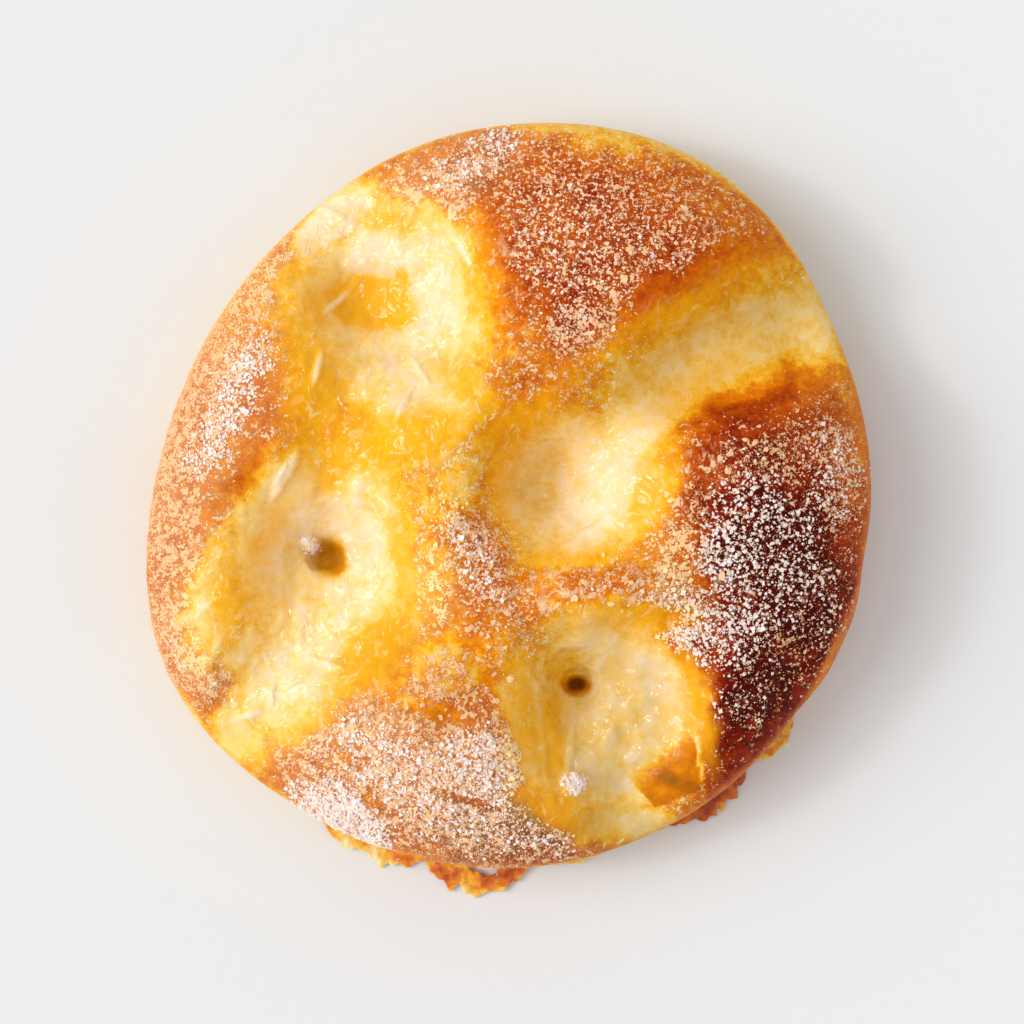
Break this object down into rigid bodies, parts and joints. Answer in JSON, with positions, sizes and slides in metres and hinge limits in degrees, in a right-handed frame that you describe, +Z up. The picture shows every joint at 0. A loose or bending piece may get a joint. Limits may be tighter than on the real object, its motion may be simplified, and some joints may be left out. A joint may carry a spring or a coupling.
{
  "type": "sugar brioche",
  "caption": "Flat round sugar brioche with moist hollows pressed into a browned, sugar-crusted crown and caramel flakes at its foot, to lie on a plate, tray or counter.",
  "frame": {"origin": "middle of the bounding box, at the flat underside", "axes": "+Z up out of the crown, +Y towards the smooth dark lobe of the crown, +X towards the darkest sugared lobe"},
  "size_m": [0.13, 0.1406, 0.0376],
  "materials": {
    "crust": "baked dough: mahogany to golden crust dusted with sugar, pale yellow and glossy in the buttered hollows"
  },
  "bodies": {
    "root": {"brioche": "crust"}
  },
  "joints": []
}
